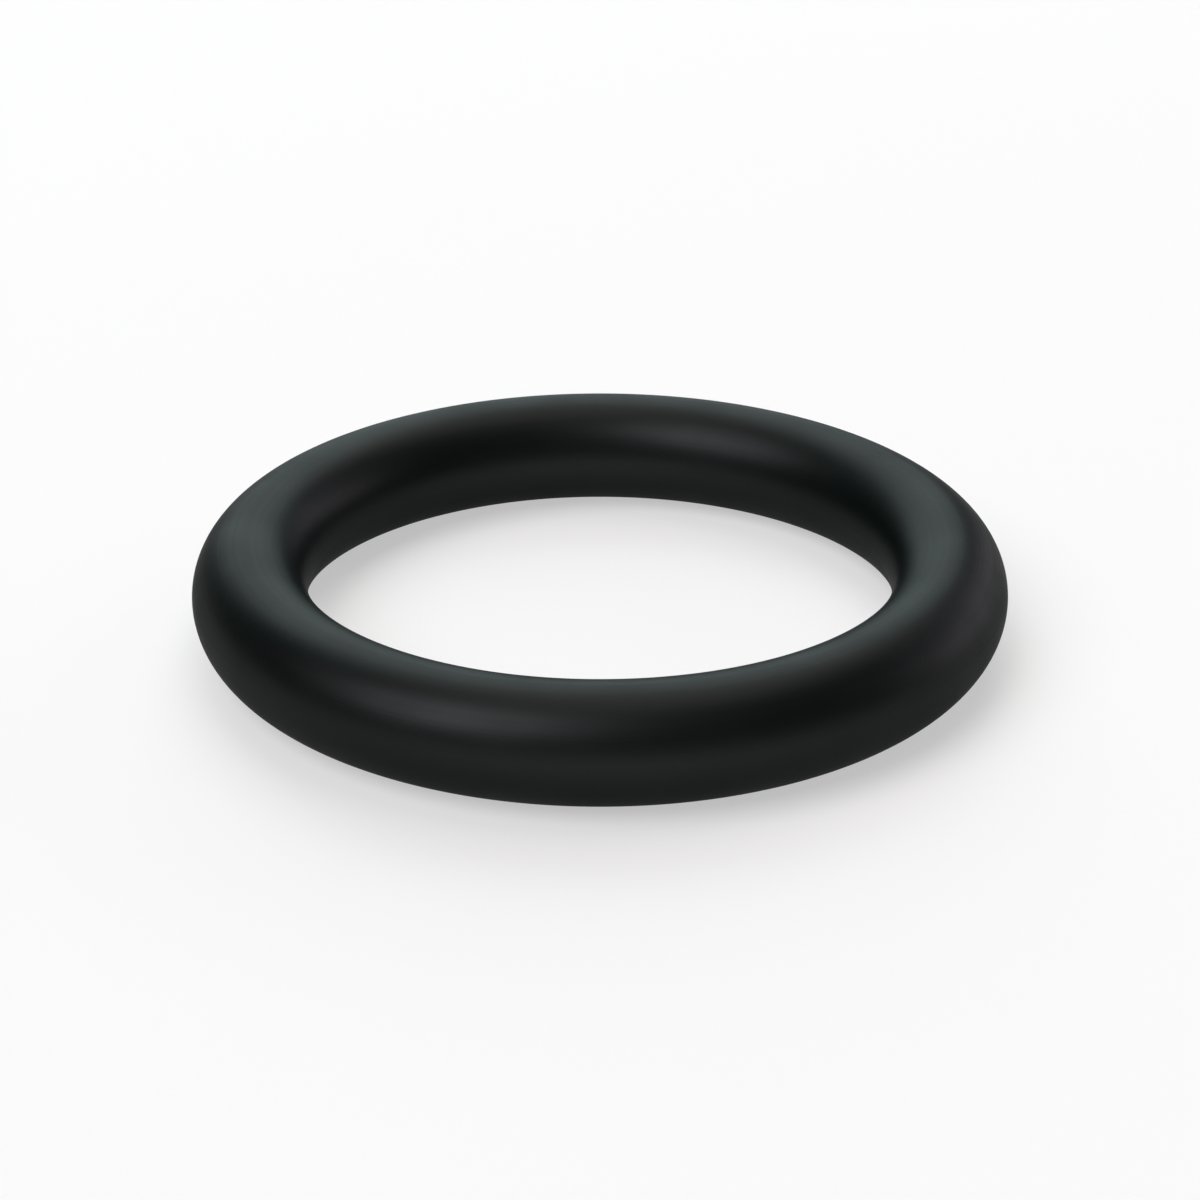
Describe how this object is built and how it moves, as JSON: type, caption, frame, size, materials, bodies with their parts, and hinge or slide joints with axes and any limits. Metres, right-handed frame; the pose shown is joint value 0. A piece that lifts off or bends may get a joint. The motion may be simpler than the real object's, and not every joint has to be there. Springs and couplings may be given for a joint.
{
  "type": "rubber o-ring",
  "caption": "Black rubber o-ring with a round section, a seal that is squeezed between a shaft and its bore or between flat faces.",
  "frame": {"origin": "centre of the ring: on its axis, in the middle plane of the round section", "axes": "+Z along the ring's axis, square to the surface that the ring lies flat on; X and Y lie in its middle plane, and any direction there is alike"},
  "size_m": [0.0252, 0.0252, 0.0036],
  "materials": {
    "black_rubber": "satin"
  },
  "bodies": {
    "root": {"o_ring": "black_rubber"}
  },
  "joints": []
}
